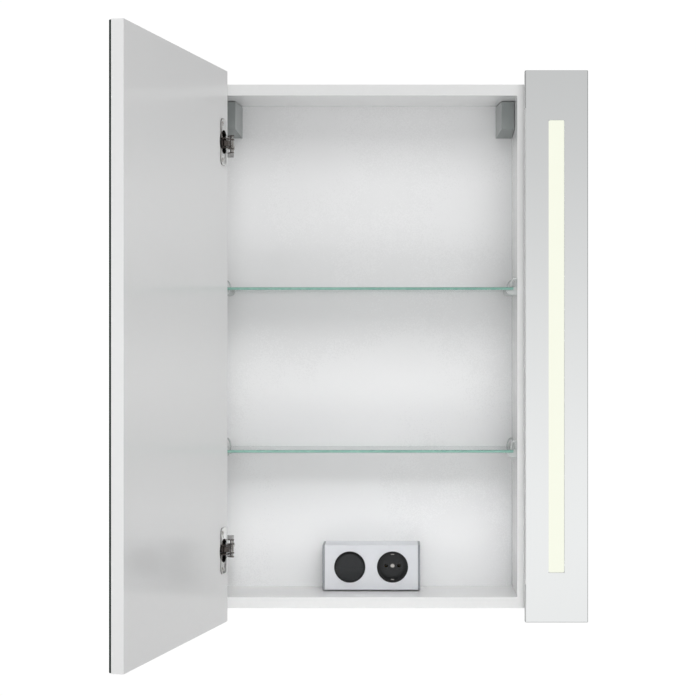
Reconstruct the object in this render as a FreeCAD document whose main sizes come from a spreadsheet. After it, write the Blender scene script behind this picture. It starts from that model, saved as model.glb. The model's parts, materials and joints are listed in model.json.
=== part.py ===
# Wall-hung bathroom mirror cabinet: a white carcass with one mirror door on concealed hinges, a
# fixed mirror panel with a lit strip, two glass shelves, two cabinet hangers and a power box.
#
# Frame: millimetres, +Z up, the front faces -Y. The origin is on the wall, at the middle of the
# cabinet's width and height. The door is designed shut and then turned to where it stands open.
import FreeCAD, Part
import math
import os
import re
import Sketcher

SIZES = {
    # carcass
    "cabinet_width": 550.0,
    "carcass_height": 759.0,
    "carcass_depth": 148.0,
    "board": 16.0,
    "divider_place": 174.4,
    "back_recess": 17.5,
    "back_panel": 3.0,
    "groove_depth": 6.0,
    "groove_play": 0.1,
    # fittings between the boards
    "dowel_radius": 4.0,
    "dowel_in_side": 10.0,
    "dowel_in_board": 20.0,
    "cam_radius": 7.5,
    "cam_depth": 12.5,
    "cam_from_joint": 24.0,
    "cam_bolt_radius": 2.5,
    # fronts
    "front_height": 795.0,
    "front_gap": 2.5,
    "fixed_width": 90.6,
    "door_gap": 3.0,
    "mirror_glass": 3.0,
    "mirror_short": 1.0,
    # lit strip
    "light_middle": 229.7,
    "light_width": 21.0,
    "light_height": 650.0,
    "light_recess": 0.5,
    "channel_width": 25.0,
    "channel_over": 5.0,
    "channel_wall": 1.5,
    "diffuser_flange": 2.0,
    "fit_play": 0.2,
    "strip_width": 10.0,
    "strip_height": 644.0,
    "chip": 5.0,
    "chip_height": 0.8,
    # glass shelves
    "shelf_glass": 4.0,
    "shelf_upper": 86.0,
    "shelf_lower": -150.9,
    "shelf_setback": 10.0,
    "shelf_side_gap": 4.9,
    "shelf_back_gap": 3.5,
    "support_width": 12.0,
    "support_pin": 2.5,
    "pin_depth": 8.0,
    # concealed hinges
    "hinge_height": 293.0,
    "cup_from_edge": 22.5,
    "cup_radius": 17.5,
    "cup_wall": 0.5,
    "cup_depth": 12.5,
    "flange_long": 67.0,
    "flange_wide": 27.0,
    "flange_thick": 1.2,
    "flange_round": 8.0,
    "pivot_pin": 1.0,
    "pivot_play": 0.05,
    "open_pivot_play": 1.35,
    # cabinet hangers
    "hanger_reach": 24.0,
    "hanger_front_reach": 18.8,
    "hanger_height": 47.6,
    "hanger_draft": 6.7,
    "hanger_setback": 62.0,
    "hanger_play": 0.8,
    "cover_wall": 1.5,
    "hook_thick": 5.0,
    "hook_tall": 10.0,
    "hook_travel": 5.0,
    # power box
    "box_middle": -38.2,
    "box_width": 145.3,
    "box_height": 66.0,
    "box_lift": 2.0,
    "box_setback": 67.0,
    "box_wall": 2.0,
    "end_cap": 3.4,
    "switch_place": -70.1,
    "socket_place": -6.7,
    "disc_height": 35.8,
    "ring_radius": 23.1,
    "ring_lip": 1.5,
    "tube_radius": 21.9,
    "well_radius": 19.6,
    "well_depth": 17.0,
    "rocker_well": 21.0,
    "rocker_radius": 20.4,
    "contact_spacing": 19.0,
    "contact_bore": 2.5,
    "grommet_radius": 8.0,
    "cable_bore": 3.5,
}

# The hinge linkage, seen from above with the door shut. The arm carries the outer link's pin and
# the inner link's pin, and the cup carries the links' other ends.
ARM_OUTER = (-249.3, -134.8)
ARM_INNER = (-238.3, -147.3)
CUP_OUTER = (-266.6, -156.4)
CUP_INNER = (-261.9, -155.6)
INNER_EYE = (-260.9, -156.2)
DOOR_OPEN = 100.85
OUTER_LINK_SHARE = -0.317
INNER_LINK_SHARE = -0.35
ROCKER_TILT = 4.0

doc = FreeCAD.newDocument("MirrorCabinet")
sheet = doc.addObject("Spreadsheet::Sheet", "Sizes")
for row, (alias, number) in enumerate(SIZES.items(), start=1):
    sheet.set(f"A{row}", alias)
    sheet.set(f"B{row}", str(number))
    sheet.setAlias(f"B{row}", alias)
doc.recompute()

ALIAS = re.compile(r"[a-z]+(?:_[a-z]+)*")
nodes = []


# ---- ways of making a shape ------------------------------------------------------------------
def bind(item, path, formula):
    """Bind one property to a formula in the sheet's aliases."""
    item.setExpression(path, ALIAS.sub(lambda word: f"Sizes.{word.group()}", str(formula)))


def bind_place(item, place):
    for letter, formula in zip("xyz", place):
        bind(item, f".Placement.Base.{letter}", formula)


def block(low, high):
    """A rectangular block between two corners."""
    item = doc.addObject("Part::Box", "Block")
    for side, start, end in zip(("Length", "Width", "Height"), low, high):
        bind(item, side, f"({end}) - ({start})")
    bind_place(item, low)
    return item


TURN = {
    "x": FreeCAD.Rotation(FreeCAD.Vector(0, 1, 0), 90),
    "y": FreeCAD.Rotation(FreeCAD.Vector(1, 0, 0), -90),
    "z": FreeCAD.Rotation(),
}


def rod(axis, radius, start, length):
    """A cylinder that runs from its start along +X, +Y or +Z."""
    item = doc.addObject("Part::Cylinder", "Rod")
    item.Placement.Rotation = TURN[axis]
    bind(item, "Radius", radius)
    bind(item, "Height", length)
    bind_place(item, start)
    return item


def join(pieces):
    if len(pieces) == 1:
        return pieces[0]
    item = doc.addObject("Part::MultiFuse", "Join")
    item.Shapes = pieces
    return item


def cut(base, tools):
    item = doc.addObject("Part::Cut", "Cut")
    item.Base = base
    item.Tool = join(tools)
    return item


def outline_body(plane, points, low, length):
    """A body padded from a closed outline, whose corners are bound to the sheet.

    On XY_Plane the pad runs along +Z, on YZ_Plane along +X and on XZ_Plane along -Y, from low.
    """
    body = doc.addObject("PartDesign::Body", "Body")
    sketch = body.newObject("Sketcher::SketchObject", "Outline")
    sketch.AttachmentSupport = [(next(f for f in body.Origin.OriginFeatures if f.Role == plane), "")]
    sketch.MapMode = "FlatFace"
    count = len(points)
    corners = []
    for step in range(count):
        turn = 2 * math.pi * step / count
        corners.append(FreeCAD.Vector(10 * math.cos(turn), 10 * math.sin(turn), 0))
    for step in range(count):
        sketch.addGeometry(Part.LineSegment(corners[step], corners[(step + 1) % count]))
    for step, (across, up) in enumerate(points):
        sketch.addConstraint(Sketcher.Constraint("Coincident", step, 2, (step + 1) % count, 1))
        for kind, start, formula in (
            ("DistanceX", corners[step].x, across),
            ("DistanceY", corners[step].y, up),
        ):
            index = sketch.addConstraint(Sketcher.Constraint(kind, step, 1, start))
            bind(sketch, f"Constraints[{index}]", formula)
    pad = body.newObject("PartDesign::Pad", "Pad")
    pad.Profile = sketch
    bind(pad, "Length", length)
    along = {"XY_Plane": "z", "XZ_Plane": "y", "YZ_Plane": "x"}[plane]
    bind(body, f".Placement.Base.{along}", low)
    return body


def dress(body, kind, size, chosen):
    """A PartDesign fillet or chamfer on the edges whose middle point is chosen."""
    doc.recompute()
    tip = body.Tip
    names = [
        f"Edge{number}"
        for number, edge in enumerate(tip.Shape.Edges, start=1)
        if chosen(edge, edge.valueAt((edge.FirstParameter + edge.LastParameter) / 2))
    ]
    feature = body.newObject(f"PartDesign::{kind}", kind)
    feature.Base = (tip, names)
    bind(feature, "Radius" if kind == "Fillet" else "Size", size)
    return body


def node(name, item, place=None):
    """Name one sub-part, and turn it to its place if it belongs to the door or its links."""
    item.Label = name
    if place is not None:
        item.Placement = place
    nodes.append(item)
    return item


def link_bar(pivots, path, half_width, low, thick, eyes, bores):
    """A flat link: a bar of one width along a path, with a round eye and a bore at each end."""
    ends = []
    left = []
    right = []
    for step, (px, py) in enumerate(path):
        before = path[max(step - 1, 0)]
        after = path[min(step + 1, len(path) - 1)]
        ux, uy = after[0] - before[0], after[1] - before[1]
        size = math.hypot(ux, uy)
        left.append((px - uy / size * half_width, py + ux / size * half_width))
        right.append((px + uy / size * half_width, py - ux / size * half_width))
    bar = outline_body("XY_Plane", left + right[::-1], low, thick)
    for (px, py), radius in zip(pivots, eyes):
        ends.append(rod("z", radius, (px, py, low), thick))
    holes = [rod("z", bore, (px, py, low), thick) for (px, py), bore in zip(pivots, bores)]
    return cut(join([bar] + ends), holes)


# ---- levels that several pieces share ----------------------------------------------------------
SIDE = "cabinet_width / 2"
INNER = "(cabinet_width / 2 - board)"
DIVIDER = "divider_place"
DIVIDER_FAR = "(divider_place + board)"
FIXED_LEFT = "(cabinet_width / 2 - fixed_width)"
DOOR_RIGHT = "(cabinet_width / 2 - fixed_width - door_gap)"
CARCASS_FRONT = "-carcass_depth"
BACK_FRONT = "(-back_recess - back_panel)"
FRONT_BACK = "(-carcass_depth - front_gap)"
FRONT_FACE = "(-carcass_depth - front_gap - board)"
MIRROR_FACE = "(-carcass_depth - front_gap - board - mirror_glass)"
HALF = "carcass_height / 2"
ROOM = "(carcass_height / 2 - board)"
FRONT_HALF = "front_height / 2"
GROOVE_FRONT = "(-back_recess - back_panel - groove_play)"
GROOVE_BACK = "(-back_recess + groove_play)"
HINGE_SCREW_Y = "(-carcass_depth + 37)"
SUPPORT_Y = ("(-carcass_depth + 18)", "(-carcass_depth + 108)")
SHELVES = {"upper": "shelf_upper", "lower": "shelf_lower"}
DOWEL_Y = ("(-carcass_depth + 28)", "(-carcass_depth + 98)")
CAM_Y = "(-carcass_depth + 63)"
BOTH = (1, -1)


# ---- carcass -----------------------------------------------------------------------------------
def joint_height(end):
    return f"{end} * (carcass_height / 2 - board / 2)"


def dowels_at(side, start, length):
    """The dowels that go through one side board's joints, from start along +X."""
    return [
        rod("x", "dowel_radius", (start, place, joint_height(end)), length)
        for place in DOWEL_Y
        for end in BOTH
    ]


def side_holes(side):
    """Dowel, cam bolt and shelf support holes in the inner face of a side board."""
    start = INNER if side > 0 else f"(-{INNER} - dowel_in_side)"
    holes = dowels_at(side, start, "dowel_in_side")
    for end in BOTH:
        bolt_start = (start, CAM_Y, joint_height(end))
        holes.append(rod("x", "cam_bolt_radius", bolt_start, "dowel_in_side"))
    return holes


def make_side_left():
    board = block((f"-{SIDE}", CARCASS_FRONT, f"-{HALF}"), (f"-{INNER}", 0, HALF))
    groove = block(
        (f"-{INNER} - groove_depth", GROOVE_FRONT, f"-{HALF}"), (f"-{INNER}", GROOVE_BACK, HALF)
    )
    holes = side_holes(-1) + [groove]
    for end in BOTH:
        for step in (-16, 16):
            height = f"{end} * hinge_height + {step}"
            holes.append(rod("x", 2.5, (f"-{INNER} - 11", HINGE_SCREW_Y, height), 11))
    for shelf in SHELVES.values():
        for place in SUPPORT_Y:
            start = (f"-{INNER} - pin_depth", place, f"{shelf} - shelf_glass - 3.3")
            holes.append(rod("x", "support_pin", start, "pin_depth"))
    node("side_left", cut(board, holes))


def make_side_right():
    board = block((INNER, CARCASS_FRONT, f"-{HALF}"), (SIDE, 0, HALF))
    groove = block((INNER, GROOVE_FRONT, f"-{HALF}"), (f"{INNER} + groove_depth", GROOVE_BACK, HALF))
    holes = side_holes(1) + [groove]
    for end in BOTH:
        holes.append(rod("x", 1.75, (INNER, f"{CARCASS_FRONT} + 9", f"{end} * 250"), 10))
    node("side_right", cut(board, holes))


def make_divider():
    board = block((DIVIDER, CARCASS_FRONT, f"-{ROOM}"), (DIVIDER_FAR, BACK_FRONT, ROOM))
    holes = []
    for shelf in SHELVES.values():
        for place in SUPPORT_Y:
            start = (DIVIDER, place, f"{shelf} - shelf_glass - 3.3")
            holes.append(rod("x", "support_pin", start, "pin_depth"))
    for end in BOTH:
        start = (f"{DIVIDER_FAR} - 10", f"{CARCASS_FRONT} + 9", f"{end} * 250")
        holes.append(rod("x", 1.75, start, 10))
    for place in DOWEL_Y:
        for low in (f"{ROOM} - dowel_in_board", f"-{ROOM}"):
            start = (f"{DIVIDER} + board / 2", place, low)
            holes.append(rod("z", "dowel_radius", start, "dowel_in_board"))
    node("divider", cut(board, holes))


def make_top_or_bottom(name, end):
    low, high = (ROOM, HALF) if end > 0 else (f"-{HALF}", f"-{ROOM}")
    board = block((f"-{INNER}", CARCASS_FRONT, low), (INNER, 0, high))
    groove_low = ROOM if end > 0 else f"-{ROOM} - groove_depth"
    tools = [
        block(
            (f"-{INNER}", GROOVE_FRONT, groove_low),
            (INNER, GROOVE_BACK, f"{groove_low} + groove_depth"),
        )
    ]
    height = joint_height(end)
    cam_low = f"{HALF} - cam_depth" if end > 0 else f"-{HALF}"
    for start in (f"-{INNER}", f"({INNER} - dowel_in_board)"):
        for place in DOWEL_Y:
            tools.append(rod("x", "dowel_radius", (start, place, height), "dowel_in_board"))
    for start in (f"-{INNER}", f"({INNER} - cam_from_joint)"):
        tools.append(rod("x", "cam_bolt_radius", (start, CAM_Y, height), "cam_from_joint"))
    for middle in (f"-{INNER} + cam_from_joint", f"{INNER} - cam_from_joint"):
        tools.append(rod("z", "cam_radius", (middle, CAM_Y, cam_low), "cam_depth"))
    plug_low = ROOM if end > 0 else f"-{ROOM} - dowel_in_side"
    for place in DOWEL_Y:
        start = (f"{DIVIDER} + board / 2", place, plug_low)
        tools.append(rod("z", "dowel_radius", start, "dowel_in_side"))
    node(name, cut(board, tools))


def make_back_panel():
    reach = f"({INNER} + groove_depth - 0.5)"
    tall = f"({ROOM} + groove_depth - 0.5)"
    panel = block((f"-{reach}", BACK_FRONT, f"-{tall}"), (reach, "-back_recess", tall))
    tools = []
    for side in BOTH:
        low = f"{DIVIDER} - 17" if side > 0 else f"-{INNER} + 5"
        high = (f"{low} + 12", "-back_recess", f"{ROOM} - 13")
        tools.append(block((low, BACK_FRONT, f"{ROOM} - 38"), high))
    start = ("box_middle", BACK_FRONT, f"-{ROOM} + disc_height")
    tools.append(rod("y", "grommet_radius - 2", start, "back_panel"))
    node("back_panel", cut(panel, tools))


def make_board_fittings():
    """Dowels, and the cams and cam bolts that pull the boards together."""
    dowels = []
    cams = []
    bolts = []
    whole = "dowel_in_side + dowel_in_board"
    for end in BOTH:
        height = joint_height(end)
        for place in DOWEL_Y:
            for start in (f"-{INNER} - dowel_in_side", f"{INNER} - dowel_in_board"):
                dowels.append(rod("x", "dowel_radius", (start, place, height), whole))
            low = f"{ROOM} - dowel_in_board" if end > 0 else f"-{ROOM} - dowel_in_side"
            dowels.append(rod("z", "dowel_radius", (f"{DIVIDER} + board / 2", place, low), whole))
        cam_low = f"{HALF} - cam_depth" if end > 0 else f"-{HALF}"
        for side in BOTH:
            middle = f"{side} * ({INNER} - cam_from_joint)"
            cams.append(rod("z", "cam_radius", (middle, CAM_Y, cam_low), "cam_depth"))
            start = f"-{INNER} - 9" if side < 0 else f"{INNER} - cam_from_joint + cam_radius"
            length = "9 + cam_from_joint - cam_radius"
            bolts.append(rod("x", "cam_bolt_radius", (start, CAM_Y, height), length))
    node("corner_dowels", join(dowels))
    node("cam_fittings", join(cams + bolts))


# ---- fixed front with the lit strip ------------------------------------------------------------
def slot_block(width, height, low, high):
    middle = "light_middle"
    return block(
        (f"{middle} - ({width}) / 2", low, f"-({height}) / 2"),
        (f"{middle} + ({width}) / 2", high, f"({height}) / 2"),
    )


def make_fixed_front():
    board = block((FIXED_LEFT, FRONT_FACE, f"-{FRONT_HALF}"), (SIDE, FRONT_BACK, FRONT_HALF))
    window = slot_block("channel_width", "light_height + 2 * channel_over", FRONT_FACE, FRONT_BACK)
    screws = []
    for end in BOTH:
        for across in (f"{DIVIDER_FAR} + 9", f"{INNER} - 9"):
            start = (across, f"{FRONT_BACK} - 10", f"{end} * 250")
            screws.append(rod("y", 1.75, start, 10))
    node("fixed_front_board", cut(board, [window] + screws))
    glass = block((FIXED_LEFT, MIRROR_FACE, f"-{FRONT_HALF}"), (SIDE, FRONT_FACE, FRONT_HALF))
    light_hole = slot_block("light_width", "light_height", MIRROR_FACE, FRONT_FACE)
    node("fixed_mirror", cut(glass, [light_hole]))


def make_light():
    tall = "(light_height + 2 * channel_over)"
    nose_wide = "light_width - 2 * fit_play"
    nose_tall = "light_height - 2 * fit_play"
    wide = "channel_width - 2 * fit_play"
    close_tall = f"{tall} - 2 * fit_play"
    behind = f"{FRONT_FACE} + diffuser_flange"
    nose = slot_block(nose_wide, nose_tall, f"{MIRROR_FACE} + light_recess", FRONT_FACE)
    flange = slot_block(wide, close_tall, FRONT_FACE, behind)
    node("light_diffuser", join([nose, flange]))
    channel = slot_block(wide, close_tall, behind, f"{FRONT_BACK} - 0.5")
    floor = f"({FRONT_BACK} - 0.5 - channel_wall)"
    hollow = slot_block(f"{wide} - 2 * channel_wall", tall, behind, floor)
    node("light_channel", cut(channel, [hollow]))
    node("led_strip", slot_block("strip_width", "strip_height", f"{floor} - 1.5", floor))
    chips = []
    count = 36
    for step in range(count):
        height = f"strip_height * ({step} + 0.5) / {count} - strip_height / 2"
        low = ("light_middle - chip / 2", f"{floor} - 1.5 - chip_height", f"{height} - chip / 2")
        high = ("light_middle + chip / 2", f"{floor} - 1.5", f"{height} + chip / 2")
        chips.append(block(low, high))
    node("led_chips", join(chips))


def make_driver():
    points = [(206, 118), (250, 118), (250, 232), (206, 232)]
    body = outline_body("XZ_Plane", points, BACK_FRONT, 24)
    node("led_driver", dress(body, "Fillet", 3, lambda edge, mid: abs(edge.tangentAt(0).y) > 0.9))


def make_brackets():
    """Steel angles inside the lamp compartment, which hold the fixed front to the boards."""
    angles = []
    screws = []
    for end in BOTH:
        low, high = f"{end} * 250 - 15", f"{end} * 250 + 15"
        for wall, sign in ((DIVIDER_FAR, 1), (INNER, -1)):
            spans = [f"{wall}", f"{wall} + {sign * 14}"]
            thin = [f"{wall}", f"{wall} + {sign * 1.5}"]
            if sign < 0:
                spans.reverse()
                thin.reverse()
            leaf = block((spans[0], FRONT_BACK, low), (spans[1], f"{FRONT_BACK} + 1.5", high))
            leg = block((thin[0], FRONT_BACK, low), (thin[1], f"{FRONT_BACK} + 22", high))
            front_hole = rod("y", 1.75, (f"{wall} + {sign * 9}", FRONT_BACK, f"{end} * 250"), 1.5)
            leg_start = f"{wall}" if sign > 0 else f"{wall} - 1.5"
            leg_hole = rod("x", 1.75, (leg_start, f"{CARCASS_FRONT} + 9", f"{end} * 250"), 1.5)
            angles.append(cut(join([leaf, leg]), [front_hole, leg_hole]))
            front_screw = join(
                [
                    rod("y", 1.75, (f"{wall} + {sign * 9}", f"{FRONT_BACK} - 9.5", f"{end} * 250"), 11),
                    rod("y", 3.2, (f"{wall} + {sign * 9}", f"{FRONT_BACK} + 1.5", f"{end} * 250"), 1.8),
                ]
            )
            shank = f"{wall} - 9.5" if sign > 0 else f"{wall} - 1.5"
            head = f"{wall} + 1.5" if sign > 0 else f"{wall} - 3.3"
            leg_screw = join(
                [
                    rod("x", 1.75, (shank, f"{CARCASS_FRONT} + 9", f"{end} * 250"), 11),
                    rod("x", 3.2, (head, f"{CARCASS_FRONT} + 9", f"{end} * 250"), 1.8),
                ]
            )
            screws += [front_screw, leg_screw]
    node("front_brackets", join(angles))
    node("bracket_screws", join(screws))
    pads = []
    for height in (-340, 0, 340):
        for low, wide in ((f"{INNER} + 3", 10), (f"{FIXED_LEFT} + 0.5", 5)):
            start = (low, FRONT_BACK, height - 10)
            pads.append(block(start, (f"{low} + {wide}", CARCASS_FRONT, height + 10)))
    node("front_spacers", join(pads))


# ---- glass shelves -----------------------------------------------------------------------------
def make_shelf(which, top):
    low = (f"-{INNER} + shelf_side_gap", f"{CARCASS_FRONT} + shelf_setback", f"{top} - shelf_glass")
    high = (f"{DIVIDER} - shelf_side_gap", f"{BACK_FRONT} - shelf_back_gap", top)
    node(f"shelf_{which}", block(low, high))


def make_supports(which, top):
    """Clear plastic supports: a ledge under the glass, a grip above it and a pin in the wall."""
    supports = []
    pins = []
    bottom = f"{top} - shelf_glass"
    profile = (
        (0, f"{top} + 13.4"),
        (3.6, f"{top} + 13.4"),
        (7.6, f"{top} + 8.5"),
        (9.4, top),
        ("shelf_side_gap", top),
        ("shelf_side_gap", bottom),
        (14.4, bottom),
        (14.4, f"{bottom} - 3"),
        (11.0, f"{bottom} - 6.6"),
        (0, f"{bottom} - 6.6"),
    )
    for place in SUPPORT_Y:
        for side in BOTH:
            wall = DIVIDER if side > 0 else f"-{INNER}"
            points = [(f"{wall} - {side} * ({reach})", height) for reach, height in profile]
            body = outline_body("XZ_Plane", points, f"{place} + support_width / 2", "support_width")
            supports.append(body)
            start = wall if side > 0 else f"{wall} - pin_depth"
            pins.append(rod("x", "support_pin", (start, place, f"{bottom} - 3.3"), "pin_depth"))
    node(f"shelf_supports_{which}", join(supports))
    return pins


# ---- door --------------------------------------------------------------------------------------
def turned_about(pivot, degrees):
    """The placement that turns a piece about a vertical pin, clockwise seen from above."""
    centre = FreeCAD.Vector(pivot[0], pivot[1], 0)
    return FreeCAD.Placement(
        FreeCAD.Vector(0, 0, 0), FreeCAD.Rotation(FreeCAD.Vector(0, 0, 1), -degrees), centre
    )


OUTER_PLACE = turned_about(ARM_OUTER, OUTER_LINK_SHARE * DOOR_OPEN)
INNER_PLACE = turned_about(ARM_INNER, INNER_LINK_SHARE * DOOR_OPEN)
DOOR_PLACE = OUTER_PLACE.multiply(turned_about(CUP_OUTER, (1 - OUTER_LINK_SHARE) * DOOR_OPEN))
CUP_X = "(-cabinet_width / 2 + cup_from_edge)"


def make_door():
    corners = [
        (f"-{SIDE}", f"-{FRONT_HALF}"),
        (DOOR_RIGHT, f"-{FRONT_HALF}"),
        (DOOR_RIGHT, FRONT_HALF),
        (f"-{SIDE}", FRONT_HALF),
    ]
    board = outline_body("XZ_Plane", corners, FRONT_BACK, "board")
    holes = []
    for end in BOTH:
        height = f"{end} * hinge_height"
        start = (CUP_X, f"{FRONT_BACK} - cup_depth", height)
        holes.append(rod("y", "cup_radius", start, "cup_depth"))
        for step in BOTH:
            start = (f"{CUP_X} + 6", f"{FRONT_BACK} - 11", f"{height} + {step} * 26")
            holes.append(rod("y", 1.75, start, 11))
    node("door_board", cut(board, holes), DOOR_PLACE)
    glass_top = f"({FRONT_HALF} - mirror_short)"
    corners = [
        (f"-{SIDE}", f"-{glass_top}"),
        (DOOR_RIGHT, f"-{glass_top}"),
        (DOOR_RIGHT, glass_top),
        (f"-{SIDE}", glass_top),
    ]
    glass = outline_body("XZ_Plane", corners, FRONT_FACE, "mirror_glass")
    front = -SIZES["mirror_glass"]
    glass = dress(glass, "Chamfer", 1, lambda edge, mid: abs(mid.y - front) < 0.01)
    doc.recompute()
    glass.setExpression(".Placement.Base.y", None)
    shut_y = -SIZES["carcass_depth"] - SIZES["front_gap"] - SIZES["board"]
    shut = FreeCAD.Placement(FreeCAD.Vector(0, shut_y, 0), FreeCAD.Rotation())
    node("door_mirror", glass, DOOR_PLACE.multiply(shut))


# ---- hinges ------------------------------------------------------------------------------------
OUTER_PATH = [
    CUP_OUTER,
    (-264.4, -159.6),
    (-259.6, -160.4),
    (-254.6, -156.4),
    (-252.0, -148.0),
    ARM_OUTER,
]
INNER_PATH = [
    INNER_EYE,
    (-257.5, -158.2),
    (-252.2, -156.4),
    (-246.9, -151.9),
    ARM_INNER,
]
ARM_CHEEK = [
    (-254.2, -84.0),
    (-254.2, -130.0),
    (-251.8, -136.0),
    (-240.2, -148.6),
    (-236.5, -148.4),
    (-236.4, -144.5),
    (-242.0, -131.0),
    (-242.0, -84.0),
]
ARM_WEB = -242.0
CHEEK = (11.5, 13.0)
WING = 25.0
EAR = 4.3


def make_hinge(which, end):
    middle = f"{end} * hinge_height"
    cup_low = f"{FRONT_BACK} - cup_depth"
    shell = rod("y", "cup_radius", (CUP_X, cup_low, middle), "cup_depth")
    corners = [
        (f"{CUP_X} + {across} * flange_wide / 2", f"{middle} + {up} * flange_long / 2")
        for across, up in ((-1, -1), (1, -1), (1, 1), (-1, 1))
    ]
    flange = outline_body("XZ_Plane", corners, f"{FRONT_BACK} + flange_thick", "flange_thick")
    thick = SIZES["flange_thick"]
    dress(flange, "Fillet", "flange_round", lambda edge, mid: abs(edge.Length - thick) < 0.01)
    bowl_start = (CUP_X, f"{cup_low} + 0.7", middle)
    bowl = rod("y", "cup_radius - cup_wall", bowl_start, "cup_depth + flange_thick")
    ears = [
        block((-269.0, cup_low, f"{middle} + {low}"), (-259.6, -153.6, f"{middle} + {low} + 1"))
        for low in (EAR, -EAR - 1)
    ]
    tools = []
    for px, py in (CUP_OUTER, CUP_INNER):
        tools.append(rod("z", "pivot_pin", (px, py, f"{middle} - 14"), 28))
    for step in BOTH:
        start = (f"{CUP_X} + 6", FRONT_BACK, f"{middle} + {step} * 26")
        tools.append(rod("y", 1.75, start, "flange_thick"))
    bowled = cut(join([shell, flange]), [bowl])
    node(f"hinge_cup_{which}", cut(join([bowled] + ears), tools), DOOR_PLACE)
    outer = link_bar(
        (CUP_OUTER, ARM_OUTER),
        OUTER_PATH,
        1.1,
        f"{middle} - 4",
        8,
        (2.0, 2.6),
        ("pivot_pin + pivot_play", "pivot_pin + pivot_play"),
    )
    node(f"hinge_outer_link_{which}", outer, OUTER_PLACE)
    cheeks = [
        link_bar(
            (INNER_EYE, ARM_INNER),
            INNER_PATH,
            1.1,
            low,
            1.8,
            (3.1, 2.2),
            ("pivot_pin + open_pivot_play", "pivot_pin + pivot_play"),
        )
        for low in (f"{middle} + 5.6", f"{middle} - 7.4")
    ]
    node(f"hinge_inner_links_{which}", join(cheeks), INNER_PLACE)
    parts = []
    for low in (f"{middle} + {CHEEK[0]}", f"{middle} - {CHEEK[1]}"):
        parts.append(outline_body("XY_Plane", ARM_CHEEK, low, CHEEK[1] - CHEEK[0]))
        parts.append(rod("z", 1.6, (*ARM_INNER, low), CHEEK[1] - CHEEK[0]))
    web_low = (ARM_WEB - 1.5, -131, f"{middle} - {CHEEK[1]}")
    parts.append(block(web_low, (ARM_WEB, -84, f"{middle} + {CHEEK[1]}")))
    tools = []
    for px, py in (ARM_OUTER, ARM_INNER):
        tools.append(rod("z", "pivot_pin", (px, py, f"{middle} - {CHEEK[1]}"), 2 * CHEEK[1]))
    for place in (-94, -119):
        tools.append(rod("x", 2, (ARM_WEB - 1.5, place, middle), 1.5))
    node(f"hinge_arm_{which}", cut(join(parts), tools))
    wing = block(
        (f"-{INNER}", f"{HINGE_SCREW_Y} - 8", f"{middle} - {WING}"),
        (f"-{INNER} + 2.5", f"{HINGE_SCREW_Y} + 8", f"{middle} + {WING}"),
    )
    spine = block(
        (f"-{INNER}", -128, f"{middle} - 7"),
        (f"-{INNER} + 9", -80, f"{middle} + 7"),
    )
    tools = []
    for step in (-16, 16):
        tools.append(rod("x", 2.5, (f"-{INNER}", HINGE_SCREW_Y, f"{middle} + {step}"), 2.5))
    node(f"hinge_plate_{which}", cut(join([wing, spine]), tools))


def pin(pivot, middle, low, high):
    """One hinge pin between two heights above or below the hinge's middle."""
    return rod("z", "pivot_pin", (*pivot, f"{middle} + {low}"), high - low)


def make_hinge_fixings():
    plate_screws = []
    arm_screws = []
    arm_pins = []
    cup_pins = []
    cup_screws = []
    for end in BOTH:
        middle = f"{end} * hinge_height"
        for step in (-16, 16):
            height = f"{middle} + {step}"
            plate_screws.append(
                join(
                    [
                        rod("x", 2.5, (f"-{INNER} - 10.5", HINGE_SCREW_Y, height), 13),
                        rod("x", 4, (f"-{INNER} + 2.5", HINGE_SCREW_Y, height), 2),
                    ]
                )
            )
        for place in (-94, -119):
            arm_screws.append(
                join(
                    [
                        rod("x", 2, (-250, place, middle), 8),
                        rod("x", 3.6, (ARM_WEB, place, middle), 1.8),
                    ]
                )
            )
        for pivot in (ARM_OUTER, ARM_INNER):
            arm_pins.append(pin(pivot, middle, -CHEEK[1], CHEEK[1]))
        cup_pins.append(pin(CUP_OUTER, middle, -EAR - 1, EAR + 1))
        cup_pins.append(pin(CUP_INNER, middle, EAR, 13.9))
        cup_pins.append(pin(CUP_INNER, middle, -13.9, -EAR))
        for step in BOTH:
            place = (f"{CUP_X} + 6", f"{middle} + {step} * 26")
            cup_screws.append(
                join(
                    [
                        rod("y", 1.75, (place[0], f"{FRONT_BACK} - 10.5", place[1]), "10.5 + flange_thick"),
                        rod("y", 3.3, (place[0], f"{FRONT_BACK} + flange_thick", place[1]), 0.8),
                    ]
                )
            )
    node("hinge_plate_screws", join(plate_screws))
    node("hinge_arm_screws", join(arm_screws))
    node("hinge_arm_pins", join(arm_pins))
    node("hinge_cup_pins", join(cup_pins), DOOR_PLACE)
    node("hinge_cup_screws", join(cup_screws), DOOR_PLACE)


# ---- cabinet hangers ---------------------------------------------------------------------------
HOOK_REACH = 10.3
HOOK_TOP = 20
HANGER_BODY_FRONT = -75


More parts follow.
